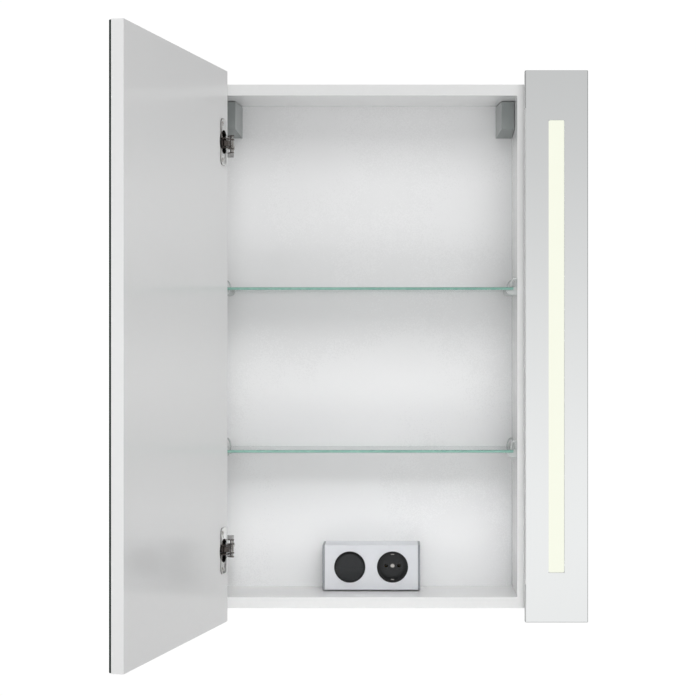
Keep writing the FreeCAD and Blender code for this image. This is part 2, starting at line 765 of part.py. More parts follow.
def hanger_outline(side, inset):
    """The cover's outside, or its hollow when inset. Its side and foot slope in to the front."""
    wall = f"({DIVIDER} - hanger_play)" if side > 0 else f"(-{INNER} + hanger_play)"
    front = f"({CARCASS_FRONT} + hanger_setback + {inset})"
    rear = f"({BACK_FRONT} - 0.1)"
    roof = f"({ROOM} - hanger_play - {inset})"
    foot = f"({ROOM} - hanger_play - hanger_height + {inset})"
    plan = [
        (f"{wall} - {side} * {inset}", rear),
        (f"{wall} - {side} * (hanger_reach - {inset})", rear),
        (f"{wall} - {side} * (hanger_front_reach - {inset})", front),
        (f"{wall} - {side} * {inset}", front),
    ]
    prism = outline_body("XY_Plane", plan, foot, f"{roof} - {foot}")
    slope = [
        (f"{front} - 1", f"{foot} + hanger_draft"),
        (front, f"{foot} + hanger_draft"),
        (rear, foot),
        (rear, f"{foot} - 1"),
        (f"{front} - 1", f"{foot} - 1"),
    ]
    start = f"{wall} - hanger_reach - 1" if side > 0 else f"{wall} - 1"
    return cut(prism, [outline_body("YZ_Plane", slope, start, "hanger_reach + 2")])


def make_hanger(which, side):
    wall = f"({DIVIDER} - hanger_play)" if side > 0 else f"(-{INNER} + hanger_play)"
    top = f"({ROOM} - hanger_play)"

    def span(near, far):
        """Two places at these distances from the wall, the lower X first."""
        ends = [f"{wall} - {side} * ({near})", f"{wall} - {side} * ({far})"]
        return ends[::-1] if side > 0 else ends

    cover = cut(hanger_outline(side, "0"), [hanger_outline(side, "cover_wall")])
    node(f"hanger_cover_{which}", cover)
    low_x, high_x = span(3, 17.5)
    housing = block((low_x, HANGER_BODY_FRONT, f"{top} - 38"), (high_x, BACK_FRONT, f"{top} - 10"))
    half = "(hook_thick / 2 + 0.8)"
    low_x, high_x = span(f"{HOOK_REACH} - {half}", f"{HOOK_REACH} + {half}")
    room_below = f"{top} - {HOOK_TOP} - hook_tall - hook_travel - 1"
    room_above = f"{top} - {HOOK_TOP} + hook_travel + 1"
    slot = block((low_x, -62, room_below), (high_x, BACK_FRONT, room_above))
    screw_x = f"{wall} - {side * HOOK_REACH}"
    holes = [slot]
    screws = []
    for height in (-12.5, -33.5):
        start = (screw_x, HANGER_BODY_FRONT, f"{top} + {height}")
        head = (screw_x, HANGER_BODY_FRONT - 2, f"{top} + {height}")
        holes.append(rod("y", 2, start, 10))
        screws.append(join([rod("y", 2, start, 9.5), rod("y", 3.4, head, 2)]))
    node(f"hanger_body_{which}", cut(housing, holes))
    stem_top = f"{top} - {HOOK_TOP}"
    outline = [
        (-60, f"{stem_top} - hook_tall"),
        (-11, f"{stem_top} - hook_tall"),
        (-11, f"{stem_top} - hook_tall - 11"),
        (-6, f"{stem_top} - hook_tall - 11"),
        (-6, stem_top),
        (-60, stem_top),
    ]
    low_x = span(f"{HOOK_REACH} - hook_thick / 2", f"{HOOK_REACH} + hook_thick / 2")[0]
    node(f"hanger_hook_{which}", outline_body("YZ_Plane", outline, low_x, "hook_thick"))
    return screws


# ---- power box ---------------------------------------------------------------------------------
BOX_FRONT = "(-carcass_depth + box_setback)"
BOX_FLOOR = f"(-{ROOM} + box_lift)"
DISC_Z = f"(-{ROOM} + disc_height)"


def make_power_box():
    low_x, high_x = "(box_middle - box_width / 2)", "(box_middle + box_width / 2)"
    top = f"({BOX_FLOOR} + box_height)"
    rear = f"({BACK_FRONT} - 0.1)"
    outer = block((f"{low_x} + end_cap", BOX_FRONT, BOX_FLOOR), (f"{high_x} - end_cap", rear, top))
    inner = block(
        (f"{low_x} + end_cap", f"{BOX_FRONT} + box_wall", f"{BOX_FLOOR} + box_wall"),
        (f"{high_x} - end_cap", f"{rear} - box_wall", f"{top} - box_wall"),
    )
    holes = [inner]
    for place in ("switch_place", "socket_place"):
        holes.append(rod("y", "tube_radius", (place, BOX_FRONT, DISC_Z), "box_wall"))
    holes.append(rod("y", "cable_bore", ("box_middle", f"{rear} - box_wall", DISC_Z), "box_wall"))
    node("powerbox_housing", cut(outer, holes))
    for which, start, end in (
        ("left", low_x, f"{low_x} + end_cap"),
        ("right", f"{high_x} - end_cap", high_x),
    ):
        points = [(start, BOX_FRONT), (end, BOX_FRONT), (end, rear), (start, rear)]
        cap = outline_body("XY_Plane", points, BOX_FLOOR, "box_height")
        front = -SIZES["carcass_depth"] + SIZES["box_setback"]
        dress(cap, "Fillet", 1, lambda edge, mid: abs(mid.y - front) < 0.01 and edge.Length > 20)
        node(f"powerbox_end_{which}", cap)


def well(place, radius, floor_depth):
    """A round plastic insert with a front lip, a tube into the box and a closed floor."""
    lip = rod("y", "ring_radius", (place, f"{BOX_FRONT} - ring_lip", DISC_Z), "ring_lip")
    tube = rod("y", "tube_radius", (place, BOX_FRONT, DISC_Z), floor_depth)
    hollow = rod(
        "y", radius, (place, f"{BOX_FRONT} - ring_lip", DISC_Z), f"({floor_depth}) + ring_lip - 2"
    )
    return [join([lip, tube]), hollow]


def make_switch():
    solid, hollow = well("switch_place", "rocker_well", 16)
    pivot_y = f"({BOX_FRONT} + 2)"
    pin_hole = rod("x", 1.56, ("switch_place - tube_radius", pivot_y, DISC_Z), "2 * tube_radius")
    node("switch_ring", cut(solid, [hollow, pin_hole]))
    low = ("switch_place - 14", f"{BOX_FRONT} + 16", f"{DISC_Z} - 14")
    node("switch_mechanism", block(low, ("switch_place + 14", f"{BOX_FRONT} + 38", f"{DISC_Z} + 14")))
    disc = rod("y", "rocker_radius", ("switch_place", f"{BOX_FRONT} - 4", DISC_Z), 9)
    pins = rod("x", 1.5, ("switch_place - 21.4", pivot_y, DISC_Z), 42.8)
    wedges = []
    for end in BOTH:
        outline = [
            (f"{BOX_FRONT} - 4.2", f"{DISC_Z} + {end * 0.5}"),
            (f"{BOX_FRONT} - 4", f"{DISC_Z} + {end * 0.5}"),
            (f"{BOX_FRONT} - 2.5", f"{DISC_Z} + {end * 22}"),
            (f"{BOX_FRONT} - 4.2", f"{DISC_Z} + {end * 22}"),
        ]
        wedges.append(outline_body("YZ_Plane", outline, "switch_place - 22", 44))
    rocker = cut(join([disc, pins]), wedges)
    centre_y = -SIZES["carcass_depth"] + SIZES["box_setback"] + 2
    centre_z = -SIZES["carcass_height"] / 2 + SIZES["board"] + SIZES["disc_height"]
    tilt = FreeCAD.Placement(
        FreeCAD.Vector(0, 0, 0),
        FreeCAD.Rotation(FreeCAD.Vector(1, 0, 0), ROCKER_TILT),
        FreeCAD.Vector(0, centre_y, centre_z),
    )
    node("switch_rocker", rocker, tilt)


def make_socket():
    solid, hollow = well("socket_place", "well_radius", "well_depth + 2")
    floor = f"({BOX_FRONT} + well_depth)"
    holes = [hollow]
    sleeves = []
    carrier_holes = []
    for side in BOTH:
        across = f"socket_place + {side} * contact_spacing / 2"
        holes.append(rod("y", "contact_bore", (across, floor, DISC_Z), 2))
        tube = rod("y", 3.4, (across, f"{floor} + 2", DISC_Z), 18)
        bore = rod("y", "contact_bore", (across, f"{floor} + 2", DISC_Z), 18)
        sleeves.append(cut(tube, [bore]))
        carrier_holes.append(rod("y", 3.4, (across, f"{floor} + 2", DISC_Z), 18))
    screw_hole = rod("y", 1.6, ("socket_place", floor, DISC_Z), 14)
    node("socket_well", cut(solid, holes + [screw_hole]))
    node("socket_contacts", join(sleeves))
    low = ("socket_place - 16", f"{floor} + 2", f"{DISC_Z} - 9")
    carrier = block(low, ("socket_place + 16", f"{floor} + 20", f"{DISC_Z} + 9"))
    node("socket_carrier", cut(carrier, carrier_holes + [screw_hole]))
    screw = join(
        [
            rod("y", 1.6, ("socket_place", floor, DISC_Z), 13),
            rod("y", 3.4, ("socket_place", f"{floor} - 1.6", DISC_Z), 1.6),
        ]
    )
    node("socket_screw", screw)
    clips = []
    for end in BOTH:
        outline = [
            (f"{floor}", 19.0),
            (f"{floor}", 17.9),
            (f"{floor} - 7", 16.9),
            (f"{floor} - 12", 16.9),
            (f"{floor} - 16", 18.4),
            (f"{floor} - 16", 19.2),
            (f"{floor} - 12", 17.8),
            (f"{floor} - 7", 17.8),
        ]
        points = [(depth, f"{DISC_Z} + {end} * {reach}") for depth, reach in outline]
        clips.append(outline_body("YZ_Plane", points, "socket_place - 2.5", 5))
    node("socket_earth_clips", join(clips))


def make_grommet():
    ring = rod("y", "grommet_radius", ("box_middle", "-back_recess", DISC_Z), 1.5)
    tube = rod("y", "grommet_radius - 2", ("box_middle", BACK_FRONT, DISC_Z), "back_panel + 1.5")
    bore = rod("y", "cable_bore", ("box_middle", BACK_FRONT, DISC_Z), "back_panel + 1.5")
    node("cable_grommet", cut(join([ring, tube]), [bore]))


# ---- the whole cabinet -------------------------------------------------------------------------
make_side_left()
make_side_right()
make_divider()
make_top_or_bottom("top_panel", 1)
make_top_or_bottom("bottom_panel", -1)
make_back_panel()
make_board_fittings()
make_fixed_front()
make_light()
make_driver()
make_brackets()
support_pins = []
for which, top in SHELVES.items():
    make_shelf(which, top)
    support_pins += make_supports(which, top)
node("shelf_support_pins", join(support_pins))
make_door()
for which, end in (("upper", 1), ("lower", -1)):
    make_hinge(which, end)
make_hinge_fixings()
hanger_screws = make_hanger("right", 1) + make_hanger("left", -1)
node("hanger_screws", join(hanger_screws))
make_power_box()
make_switch()
make_socket()
make_grommet()
doc.recompute()

# ---- check and write ---------------------------------------------------------------------------
for item in doc.Objects:
    if "Invalid" in item.State or "Error" in item.State:
        raise RuntimeError(f"{item.Name} ({item.Label}) did not compute: {item.State}")
for item in nodes:
    if item.Shape.isNull() or not item.Shape.isValid() or item.Shape.Volume <= 0:
        raise RuntimeError(f"{item.Label} has no valid shape")
os.makedirs("parts", exist_ok=True)
for item in nodes:
    item.Shape.exportStep(f"parts/{item.Label}.step")
print(len(nodes), "sub-parts written")
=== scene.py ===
import json
import math

import bmesh
import bpy
import numpy as np
from mathutils import Matrix, Vector


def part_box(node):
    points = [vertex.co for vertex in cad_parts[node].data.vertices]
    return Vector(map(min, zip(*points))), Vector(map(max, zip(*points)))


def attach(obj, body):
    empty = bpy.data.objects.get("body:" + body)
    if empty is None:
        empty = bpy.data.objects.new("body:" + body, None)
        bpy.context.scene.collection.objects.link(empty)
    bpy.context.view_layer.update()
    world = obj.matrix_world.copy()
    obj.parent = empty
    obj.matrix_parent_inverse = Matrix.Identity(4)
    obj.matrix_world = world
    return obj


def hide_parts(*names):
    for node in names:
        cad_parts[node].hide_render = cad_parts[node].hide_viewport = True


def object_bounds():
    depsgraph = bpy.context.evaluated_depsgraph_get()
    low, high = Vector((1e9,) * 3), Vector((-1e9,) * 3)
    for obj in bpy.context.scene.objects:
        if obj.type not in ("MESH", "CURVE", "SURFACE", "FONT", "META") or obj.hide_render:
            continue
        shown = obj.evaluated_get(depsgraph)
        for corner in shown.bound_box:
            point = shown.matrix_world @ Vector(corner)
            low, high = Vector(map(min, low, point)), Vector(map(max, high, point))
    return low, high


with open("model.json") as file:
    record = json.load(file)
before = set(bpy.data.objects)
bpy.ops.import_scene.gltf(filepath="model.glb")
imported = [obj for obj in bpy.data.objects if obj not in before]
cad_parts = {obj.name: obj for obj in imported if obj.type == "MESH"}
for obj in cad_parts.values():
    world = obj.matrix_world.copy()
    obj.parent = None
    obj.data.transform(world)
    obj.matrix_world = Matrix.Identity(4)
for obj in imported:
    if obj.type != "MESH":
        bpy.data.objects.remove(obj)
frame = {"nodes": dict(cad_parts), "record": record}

cad_low, cad_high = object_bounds()
mm = 0.001


# ---- Studio ------------------------------------------------------------------------------------
# The cabinet hangs free in front of a white sweep. A large soft box above the camera is the main
# light. Others fill from below, from the right and into the cabinet, and the room is pale and even.
def feed(tree, kind, inputs, **choices):
    """Places one shader node, makes its choices, and feeds its inputs a value or an output."""
    made = tree.nodes.new(f"ShaderNode{kind}")
    for choice, value in choices.items():
        setattr(made, choice, value)
    for socket, source in inputs.items():
        if isinstance(source, bpy.types.NodeSocket):
            tree.links.new(source, made.inputs[socket])
        else:
            made.inputs[socket].default_value = source
    return made


# Grey levels of the surround from its lower part (0) to its upper part (1).
SURROUND_STOPS = [
    (0.0, 0.84),
    (0.17, 0.88),
    (0.30, 0.91),
    (0.50, 0.80),
    (0.70, 0.66),
    (0.85, 0.59),
    (1.0, 0.56),
]


def studio_surround():
    """A surround that is whiter below than above, and plain white behind the cabinet."""
    world = bpy.data.worlds.new("studio_surround")
    world.use_nodes = True
    tree = world.node_tree
    tree.nodes.clear()
    place = feed(tree, "TexCoord", {})
    parts = feed(tree, "SeparateXYZ", {0: place.outputs["Generated"]})
    height = feed(tree, "MapRange", {"Value": parts.outputs["Z"], "From Min": -0.20, "From Max": 0.20})
    ramp = feed(tree, "ValToRGB", {"Fac": height.outputs["Result"]})
    ramp.color_ramp.interpolation = "B_SPLINE"
    elements = ramp.color_ramp.elements
    for place_on_ramp, _ in SURROUND_STOPS[1:-1]:
        elements.new(place_on_ramp)
    for element, (place_on_ramp, grey) in zip(elements, SURROUND_STOPS):
        element.position = place_on_ramp
        element.color = (grey, grey, grey * 1.005, 1)
    sideways = feed(tree, "Math", {0: parts.outputs["X"]}, operation="ABSOLUTE")
    dimmer = feed(
        tree,
        "MapRange",
        {"Value": sideways.outputs[0], "From Min": 0.2, "From Max": 0.85, "To Min": 1.0, "To Max": 0.5},
        interpolation_type="SMOOTHSTEP",
    )
    round_about = feed(
        tree, "Background", {"Color": ramp.outputs["Color"], "Strength": dimmer.outputs["Result"]}
    )
    backdrop = feed(tree, "Background", {"Color": (1, 1, 1, 1), "Strength": 1.02})
    seen = feed(tree, "LightPath", {})
    mix = feed(
        tree,
        "MixShader",
        {0: seen.outputs["Is Camera Ray"], 1: round_about.outputs[0], 2: backdrop.outputs[0]},
    )
    feed(tree, "OutputWorld", {"Surface": mix.outputs[0]})
    return world


# Each: place, aim, size, power, spread in degrees, and whether mirrors show it.
SOFT_BOXES = {
    "soft_box_high": ((0.6, -2.7, 1.9), (0.0, 0.0, -0.1), (2.2, 1.3), 28, 180, False),
    "soft_box_low": ((0.2, -2.9, -1.7), (0.0, 0.0, 0.0), (2.4, 1.0), 11.5, 180, False),
    "soft_box_right": ((2.4, -2.4, 0.4), (0.0, 0.0, 0.0), (0.9, 1.8), 2, 180, True),
    "honeycomb_box": ((0.1, -2.6, 0.85), (-0.06, 0.0, -0.34), (0.5, 0.4), 0.16, 16, False),
}


def soft_box(name, place, aim, size, power, spread, mirrored):
    light = bpy.data.lights.new(name, "AREA")
    light.shape = "RECTANGLE"
    light.spread = math.radians(spread)
    light.size, light.size_y = size
    light.energy = power
    held = bpy.data.objects.new(name, light)
    held.location = place
    held.rotation_euler = (Vector(aim) - Vector(place)).to_track_quat("-Z", "Y").to_euler()
    held.visible_glossy = mirrored
    bpy.context.scene.collection.objects.link(held)


bpy.context.scene.world = studio_surround()
bpy.context.scene.view_settings.view_transform = "Standard"
for name, choices in SOFT_BOXES.items():
    soft_box(name, *choices)

# The floor lies well below the cabinet, out of the camera's view.
floor_level = cad_low[2] - 1.9
floor_side, floor_near, floor_far = 4.0, -4.0, 6.0
floor_corners = [
    (-floor_side, floor_near, floor_level),
    (floor_side, floor_near, floor_level),
    (floor_side, floor_far, floor_level),
    (-floor_side, floor_far, floor_level),
]
sweep = bpy.data.meshes.new("studio_floor")
sweep.from_pydata(floor_corners, [], [(0, 1, 2, 3)])
floor = bpy.data.objects.new("studio_floor", sweep)
bpy.context.scene.collection.objects.link(floor)
pale = bpy.data.materials.new("pale_floor")
pale.use_nodes = True
shader = pale.node_tree.nodes["Principled BSDF"]
shader.inputs["Roughness"].default_value = 0.9
speck = feed(pale.node_tree, "TexNoise", {"Scale": 3.0, "Detail": 4.0})
shade = feed(pale.node_tree, "ValToRGB", {"Fac": speck.outputs["Fac"]})
shade.color_ramp.elements[0].color = (0.93, 0.93, 0.93, 1)
shade.color_ramp.elements[1].color = (0.96, 0.96, 0.96, 1)
pale.node_tree.links.new(shade.outputs["Color"], shader.inputs["Base Color"])
sweep.materials.append(pale)

# The camera stands level with the cabinet's middle, square on to it.
camera_distance = 2.765
carcass_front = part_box("side_left")[0][1]
camera = bpy.data.objects.new("camera", bpy.data.cameras.new("camera"))
camera.data.lens = 98.64
camera.data.sensor_width = 36.0
camera.data.shift_x = -0.0704
camera.data.shift_y = -0.0024
camera.data.clip_end = 60
camera.location = (0, carcass_front - camera_distance, 0)
camera.rotation_euler = (math.radians(90), 0, 0)
bpy.context.scene.collection.objects.link(camera)
bpy.context.scene.camera = camera


# ---- Carcass boards ----------------------------------------------------------------------------
# Particleboard, 16 mm, with white melamine on both faces and a glued plastic band on each front
# edge. The sides run full height, and the top, bottom and divider are doweled between them.
record = frame["record"]
body_of = {node: body for body, members in record["behaviour"]["bodies"].items() for node in members}


def stand_for(piece, *nodes):
    """The piece takes the place of CAD nodes, on their body and in their finish."""
    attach(piece, body_of[nodes[0]])
    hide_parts(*nodes)


def show(name, mesh, *materials):
    piece = bpy.data.objects.new(name, mesh)
    bpy.context.scene.collection.objects.link(piece)
    for material in materials:
        mesh.materials.append(material)
    return piece


def settle_normals(piece):
    """Broad faces stay flat, and the rounding between them shades smoothly."""
    piece.data.shade_smooth()
    weighted = piece.modifiers.new("settled", "WEIGHTED_NORMAL")
    weighted.mode = "FACE_AREA"
    weighted.weight = 60
    return piece


def clean_copy(node):
    """The CAD node's own shape with its flat faces made whole again."""
    shape = bmesh.new()
    shape.from_mesh(frame["nodes"][node].data)
    bmesh.ops.remove_doubles(shape, verts=shape.verts, dist=2e-6)
    bmesh.ops.dissolve_limit(
        shape, angle_limit=math.radians(0.5), verts=shape.verts, edges=shape.edges
    )
    bmesh.ops.recalc_face_normals(shape, faces=shape.faces)
    return shape


def ease_edges(shape, width, steps=3, sharper_than=32, skip=None):
    """Rounds over the sharp edges, as a cutter, a tumbler or a mould does."""
    sharp = [
        edge
        for edge in shape.edges
        if len(edge.link_faces) == 2
        and edge.calc_face_angle(0) > math.radians(sharper_than)
        and not (skip and skip(edge))
    ]
    bmesh.ops.bevel(
        shape,
        geom=sharp,
        offset=width,
        segments=steps,
        profile=0.5,
        affect="EDGES",
        clamp_overlap=True,
    )


def shape_to_piece(name, shape, *materials):
    mesh = bpy.data.meshes.new(name)
    shape.to_mesh(mesh)
    shape.free()
    return show(name, mesh, *materials)


def eased(node, width, *materials, steps=3):
    """The CAD node's shape with its edges eased, in the node's place."""
    shape = clean_copy(node)
    ease_edges(shape, width, steps)
    for face in shape.faces:
        face.material_index = 0
    piece = settle_normals(shape_to_piece(f"{node}_shown", shape, *materials))
    stand_for(piece, node)
    return piece


def sockets(tree, side, **wanted):
    for name, start in wanted.items():
        kind = "NodeSocketColor" if isinstance(start, tuple) else "NodeSocketFloat"
        label = name.replace("_", " ").title()
        socket = tree.interface.new_socket(name=label, in_out=side, socket_type=kind)
        if side == "INPUT":
            socket.default_value = start


def make_skin_group():
    """Slow drift of tone, patches of gloss and a fine relief, as any real surface skin has."""
    tree = bpy.data.node_groups.new("surface_skin", "ShaderNodeTree")
    sockets(
        tree,
        "INPUT",
        tone=(0.8, 0.8, 0.8, 1),
        drift=0.04,
        patch_size=14.0,
        gloss=0.3,
        gloss_spread=0.08,
        grain_size=900.0,
    )
    sockets(tree, "OUTPUT", tone=(0, 0, 0, 1), roughness=0.0, relief=0.0)
    given = tree.nodes.new("NodeGroupInput").outputs
    result = tree.nodes.new("NodeGroupOutput").inputs
    where = feed(tree, "TexCoord", {}).outputs["Object"]
    patches = feed(
        tree, "TexNoise", {"Vector": where, "Scale": given["Patch Size"], "Detail": 5.0, "Roughness": 0.55}
    )
    grain = feed(
        tree, "TexNoise", {"Vector": where, "Scale": given["Grain Size"], "Detail": 2.0, "Roughness": 0.6}
    )
    centred = feed(tree, "Math", {0: patches.outputs["Fac"], 1: 0.5}, operation="SUBTRACT")
    swing = feed(
        tree, "Math", {0: centred.outputs[0], 1: given["Drift"], 2: 1.0}, operation="MULTIPLY_ADD"
    )
    tone = feed(tree, "VectorMath", {0: given["Tone"], "Scale": swing.outputs[0]}, operation="SCALE")
    both = feed(
        tree, "Math", {0: grain.outputs["Fac"], 1: 0.35, 2: centred.outputs[0]}, operation="MULTIPLY_ADD"
    )
    rough = feed(
        tree,
        "Math",
        {0: both.outputs[0], 1: given["Gloss Spread"], 2: given["Gloss"]},
        operation="MULTIPLY_ADD",
    )
    tree.links.new(tone.outputs[0], result["Tone"])
    tree.links.new(rough.outputs[0], result["Roughness"])
    tree.links.new(grain.outputs["Fac"], result["Relief"])
    return tree


def make_painted_edge_group():
    """Picks out the outside edges and tints them towards the edge tone: painted edge highlights where that
    tone is lighter, painted dark outlines where it is darker.
    """
    tree = bpy.data.node_groups.new("painted_edge_accent", "ShaderNodeTree")
    sockets(tree, "INPUT", tone=(0.8, 0.8, 0.8, 1), edge_tone=(0.9, 0.9, 0.9, 1), amount=0.3)
    sockets(tree, "OUTPUT", tone=(0, 0, 0, 1), edge=0.0)
    given = tree.nodes.new("NodeGroupInput").outputs
    result = tree.nodes.new("NodeGroupOutput").inputs
    shape = feed(tree, "NewGeometry", {})
    where = feed(tree, "TexCoord", {}).outputs["Object"]
    edge_breakup = feed(tree, "TexNoise", {"Vector": where, "Scale": 160.0, "Detail": 4.0})
    sharp = feed(
        tree, "MapRange", {"Value": shape.outputs["Pointiness"], "From Min": 0.52, "From Max": 0.62}
    )
    broken = feed(
        tree, "Math", {0: sharp.outputs["Result"], 1: edge_breakup.outputs["Fac"]}, operation="MULTIPLY"
    )
    share = feed(tree, "Math", {0: broken.outputs[0], 1: given["Amount"]}, operation="MULTIPLY")
    mix = feed(
        tree,
        "Mix",
        {0: share.outputs[0], 6: given["Tone"], 7: given["Edge Tone"]},
        data_type="RGBA",
    )
    tree.links.new(mix.outputs[2], result["Tone"])
    tree.links.new(share.outputs[0], result["Edge"])
    return tree


surface_skin = make_skin_group()
painted_edge_accent = make_painted_edge_group()


def finish(name, tone, gloss, relief=0.02, edge_tone=None, edge_accent_amount=0.25, skin=None, **fixed):
    """A material with the shared skin and painted light on its edges, and its fixed values on the shader.
    """
    material = bpy.data.materials.new(name)
    material.use_nodes = True
    tree = material.node_tree
    shader = tree.nodes["Principled BSDF"]
    colour = (*tone, 1)
    settings = {"Tone": colour, "Gloss": gloss, **(skin or {})}
    film = feed(tree, "Group", {}, node_tree=surface_skin)
    for socket, value in settings.items():
        film.inputs[socket].default_value = value
    # By default the edges are painted a little lighter than the face: a painted edge highlight.
    lighter = tuple(min(1.0, part * 1.12 + 0.02) for part in tone)
    edge_accented = feed(tree, "Group", {}, node_tree=painted_edge_accent)
    tree.links.new(film.outputs["Tone"], edge_accented.inputs["Tone"])
    edge_accented.inputs["Edge Tone"].default_value = (*(edge_tone or lighter), 1)
    edge_accented.inputs["Amount"].default_value = edge_accent_amount
    bump = feed(
        tree,
        "Bump",
        {"Height": film.outputs["Relief"], "Strength": relief, "Distance": 0.0004},
    )
    tree.links.new(edge_accented.outputs["Tone"], shader.inputs["Base Color"])
    tree.links.new(film.outputs["Roughness"], shader.inputs["Roughness"])
    tree.links.new(bump.outputs["Normal"], shader.inputs["Normal"])
    for socket, value in fixed.items():
        shader.inputs[socket.replace("_", " ")].default_value = value
    return material


white_melamine = finish(
    "white_melamine",
    (0.925, 0.928, 0.925),
    0.20,
    relief=0.05,
    skin={"Drift": 0.016, "Patch Size": 3.0, "Gloss Spread": 0.08, "Grain Size": 700.0},
    Coat_Weight=0.22,
    Coat_Roughness=0.05,
    Specular_IOR_Level=0.55,
)
# The band is a little greyer than the faces: painted shade, which tones down the brightly lit front edges.
edge_band = finish(
    "edge_band",
    (0.83, 0.835, 0.83),
    0.24,
    relief=0.08,
    skin={"Drift": 0.02, "Patch Size": 5.0, "Gloss Spread": 0.08, "Grain Size": 900.0},
    Coat_Weight=0.12,
    Coat_Roughness=0.08,
)


def banded(node, front):
    """A white board whose narrow face towards the front carries the glued band."""
    piece = eased(node, 0.7 * mm, white_melamine, edge_band)
    for face in piece.data.polygons:
        face.material_index = 1 if face.normal.dot(front) > 0.6 else 0
    return piece


for node in ("side_left", "side_right", "divider", "top_panel", "bottom_panel"):
    banded(node, Vector((0, -1, 0)))


# ---- Back panel --------------------------------------------------------------------------------
# Hardboard, 3 mm, painted white inside and left bare behind. It slides into grooves round the
# carcass and has a slot for each hanger hook and a hole for the cable grommet.
bare_hardboard = finish(
    "bare_hardboard",
    (0.42, 0.29, 0.18),
    0.75,
    relief=0.4,
    skin={"Drift": 0.35, "Patch Size": 220.0, "Gloss Spread": 0.1, "Grain Size": 420.0},
)
white_paint = finish(
    "white_paint",
    (0.935, 0.938, 0.94),
    0.26,
    relief=0.05,
    skin={"Drift": 0.014, "Patch Size": 3.0, "Gloss Spread": 0.08, "Grain Size": 500.0},
    Coat_Weight=0.15,
    Coat_Roughness=0.10,
)
back = eased("back_panel", 0.25 * mm, white_paint, bare_hardboard)
for face in back.data.polygons:
    face.material_index = 1 if face.normal.y > 0.5 else 0


# ---- Board fittings ----------------------------------------------------------------------------
# Beech dowels and zinc cams with their bolts, sunk into the boards. Only the cams' slotted faces
# show, on top of the top board and under the bottom one.
beech = finish(
    "beech",
    (0.60, 0.42, 0.26),
    0.6,
    relief=0.3,
    skin={"Drift": 0.3, "Patch Size": 300.0, "Grain Size": 900.0},
)
zinc = finish(
    "zinc_plate",
    (0.60, 0.61, 0.63),
    0.32,
    relief=0.08,
    skin={"Drift": 0.18, "Patch Size": 260.0, "Gloss Spread": 0.16, "Grain Size": 1500.0},
    Metallic=1.0,
)


def dress(node, *materials):
    """Gives a CAD node that stays in view its material."""
    mesh = frame["nodes"][node].data
    mesh.materials.clear()
    for material in materials:
        mesh.materials.append(material)


dress("corner_dowels", beech)
eased("cam_fittings", 0.3 * mm, zinc)


# ---- Fixed mirror panel ------------------------------------------------------------------------
# A board with 3 mm mirror glass glued to its face. The glass has a ground and polished arris all
# round and a long window cut through for the light.
def make_silver():
    """Silvered glass with a faint film of wiping marks."""
    material = bpy.data.materials.new("silvered_glass")
    material.use_nodes = True
    tree = material.node_tree
    shader = tree.nodes["Principled BSDF"]
    shader.inputs["Metallic"].default_value = 1.0
    where = feed(tree, "TexCoord", {}).outputs["Object"]
    wiped = feed(tree, "Mapping", {"Vector": where, "Scale": (9.0, 9.0, 2.2)})
    film = feed(
        tree,
        "TexNoise",
        {"Vector": wiped.outputs[0], "Scale": 2.0, "Detail": 6.0, "Distortion": 0.6},
    )
    haze = feed(
        tree,
        "MapRange",
        {"Value": film.outputs["Fac"], "From Min": 0.35, "From Max": 0.8, "To Min": 0.012, "To Max": 0.05},
    )
    tree.links.new(haze.outputs["Result"], shader.inputs["Roughness"])
    tone = feed(tree, "ValToRGB", {"Fac": film.outputs["Fac"]})
    tone.color_ramp.elements[0].color = (0.925, 0.94, 0.935, 1)
    tone.color_ramp.elements[1].color = (0.94, 0.955, 0.95, 1)
    tree.links.new(tone.outputs["Color"], shader.inputs["Base Color"])
    return material


silver = make_silver()
ground_edge = finish(
    "ground_glass_edge",
    (0.004, 0.012, 0.010),
    0.22,
    relief=0.1,
    # The lighter edge tone brightens the arris: a painted highlight.
    edge_tone=(0.05, 0.08, 0.07),
    edge_accent_amount=0.5,
    skin={"Drift": 0.4, "Patch Size": 60.0, "Gloss Spread": 0.2, "Grain Size": 1400.0},
    Specular_IOR_Level=0.25,
)


def face_silver(piece, front, reach):
    """Faces turned to the front within reach are silver, and the rest is bare ground glass."""
    for face in piece.data.polygons:
        face.material_index = 0 if face.normal.dot(front) > reach else 1


eased("fixed_front_board", 0.7 * mm, white_melamine)
fixed_mirror = eased("fixed_mirror", 1.1 * mm, silver, ground_edge, steps=1)
fixed_mirror.modifiers.clear()
fixed_mirror.data.shade_flat()
face_silver(fixed_mirror, Vector((0, -1, 0)), 0.3)


# ---- Light -------------------------------------------------------------------------------------
# An opal acrylic bar fills the window a little below the glass. Behind it an aluminium channel
# carries a strip of light chips, and a small driver sits further back in the same compartment.
def make_lit_opal():
    """Opal acrylic that glows, with a faint cloudy unevenness in its glow."""
    material = bpy.data.materials.new("lit_opal")
    material.use_nodes = True
    tree = material.node_tree
    shader = tree.nodes["Principled BSDF"]
    shader.inputs["Base Color"].default_value = (0.02, 0.02, 0.02, 1)
    shader.inputs["Roughness"].default_value = 0.4
    shader.inputs["Emission Strength"].default_value = 1.0
    where = feed(tree, "TexCoord", {}).outputs["Object"]
    cloud = feed(tree, "TexNoise", {"Vector": where, "Scale": 30.0, "Detail": 3.0})
    tone = feed(tree, "ValToRGB", {"Fac": cloud.outputs["Fac"]})
    tone.color_ramp.elements[0].color = (0.89, 0.91, 0.775, 1)
    tone.color_ramp.elements[1].color = (0.91, 0.93, 0.80, 1)
    tree.links.new(tone.outputs["Color"], shader.inputs["Emission Color"])
    grit = feed(tree, "TexNoise", {"Vector": where, "Scale": 1800.0})
    bump = feed(tree, "Bump", {"Height": grit.outputs["Fac"], "Strength": 0.1, "Distance": 0.0002})
    tree.links.new(bump.outputs["Normal"], shader.inputs["Normal"])
    return material


